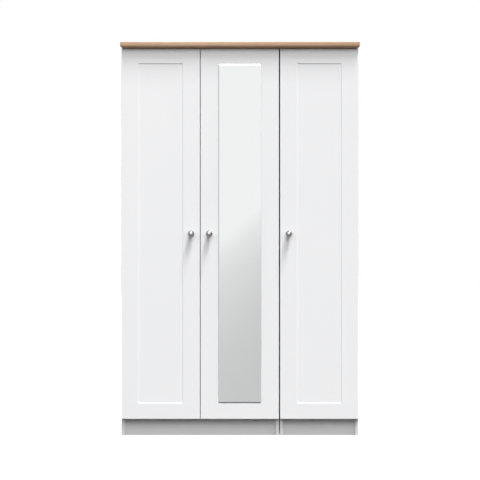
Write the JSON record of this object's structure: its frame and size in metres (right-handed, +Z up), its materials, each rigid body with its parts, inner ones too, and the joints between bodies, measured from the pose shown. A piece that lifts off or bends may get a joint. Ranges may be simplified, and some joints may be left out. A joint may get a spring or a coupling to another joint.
{
  "type": "wardrobe with doors",
  "caption": "Tall white wardrobe with hinged panelled doors, a full-height mirror, chrome ball knobs and an oak-look top, with hanging rails and hat shelves inside.",
  "frame": {"origin": "on the floor under the middle of the whole wardrobe, knobs included", "axes": "+Z up, -Y towards the person who opens the doors, +X to that person's right"},
  "size_m": [1.113, 0.548, 1.829],
  "materials": {
    "oak_top": "light oak foil, satin",
    "white_board": "white melamine, satin",
    "door_foil": "smooth white foil, satin",
    "back_sheet": "white hardboard, matte",
    "mirror_glass": "silvered glass, polished",
    "knob_chrome": "polished chrome",
    "rail_chrome": "bright chrome",
    "beech_dowel": "bare beech",
    "cam_zinc": "die-cast zinc",
    "hinge_nickel": "nickel plated",
    "screw_steel": "zinc plated",
    "bright_steel": "bright zinc",
    "white_plastic": "white moulded plastic",
    "bumper_clear": "soft translucent pad"
  },
  "bodies": {
    "carcass": {"connector_bolts": "bright_steel", "corner_bolts": "bright_steel", "corner_cams": "cam_zinc", "corner_dowels": "beech_dowel", "double_back": "back_sheet", "double_bottom": "white_board", "double_left_side": "white_board", "double_plinth": "white_board", "double_rail": "rail_chrome", "double_right_side": "white_board", "double_shelf": "white_board", "double_top": "white_board", "hinge_arm_screws": "screw_steel", "hinge_plate_screws": "screw_steel", "left_arm_pins": "bright_steel", "left_hinge_arms": "hinge_nickel", "left_hinge_plates": "hinge_nickel", "middle_arm_pins": "bright_steel", "middle_hinge_arms": "hinge_nickel", "middle_hinge_plates": "hinge_nickel", "rail_sockets": "white_plastic", "right_arm_pins": "bright_steel", "right_hinge_arms": "hinge_nickel", "right_hinge_plates": "hinge_nickel", "shelf_pegs": "bright_steel", "single_back": "back_sheet", "single_bottom": "white_board", "single_left_side": "white_board", "single_plinth": "white_board", "single_rail": "rail_chrome", "single_right_side": "white_board", "single_shelf": "white_board", "single_top": "white_board", "top_board": "oak_top", "top_screws": "screw_steel"},
    "left_door": {"left_bumpers": "bumper_clear", "left_cup_pins": "bright_steel", "left_cup_screws": "screw_steel", "left_door": "door_foil", "left_hinge_cups": "hinge_nickel", "left_knob": "knob_chrome", "left_knob_screw": "screw_steel"},
    "left_hinge_links": {"left_hinge_links": "hinge_nickel"},
    "middle_door": {"middle_bumpers": "bumper_clear", "middle_cup_pins": "bright_steel", "middle_cup_screws": "screw_steel", "middle_door": "door_foil", "middle_hinge_cups": "hinge_nickel", "middle_knob": "knob_chrome", "middle_knob_screw": "screw_steel", "mirror_glass": "mirror_glass"},
    "middle_hinge_links": {"middle_hinge_links": "hinge_nickel"},
    "right_door": {"right_bumpers": "bumper_clear", "right_cup_pins": "bright_steel", "right_cup_screws": "screw_steel", "right_door": "door_foil", "right_hinge_cups": "hinge_nickel", "right_knob": "knob_chrome", "right_knob_screw": "screw_steel"},
    "right_hinge_links": {"right_hinge_links": "hinge_nickel"}
  },
  "joints": [
    {"name": "left_door_swing", "type": "hinge", "parent": "left_hinge_links", "child": "left_door", "pos_m": [-0.5401, -0.2244, 0.9365], "axis": [0, 0, -1], "range_deg": [0, 131.9]},
    {"name": "left_link_swing", "type": "hinge", "parent": "carcass", "child": "left_hinge_links", "pos_m": [-0.5221, -0.2117, 0.9365], "axis": [0, 0, -1], "range_deg": [-37, 0]},
    {"name": "middle_door_swing", "type": "hinge", "parent": "middle_hinge_links", "child": "middle_door", "pos_m": [0.1701, -0.2244, 0.9365], "axis": [0, 0, 1], "range_deg": [0, 131.9]},
    {"name": "middle_link_swing", "type": "hinge", "parent": "carcass", "child": "middle_hinge_links", "pos_m": [0.1521, -0.2117, 0.9365], "axis": [0, 0, 1], "range_deg": [-37, 0]},
    {"name": "right_door_swing", "type": "hinge", "parent": "right_hinge_links", "child": "right_door", "pos_m": [0.5401, -0.2244, 0.9365], "axis": [0, 0, 1], "range_deg": [0, 131.9]},
    {"name": "right_link_swing", "type": "hinge", "parent": "carcass", "child": "right_hinge_links", "pos_m": [0.5221, -0.2117, 0.9365], "axis": [0, 0, 1], "range_deg": [-37, 0]}
  ],
  "couplings": [
    {"joint": "left_link_swing", "follows": "left_door_swing", "ratio": -0.28},
    {"joint": "middle_link_swing", "follows": "middle_door_swing", "ratio": -0.28},
    {"joint": "right_link_swing", "follows": "right_door_swing", "ratio": -0.28}
  ]
}
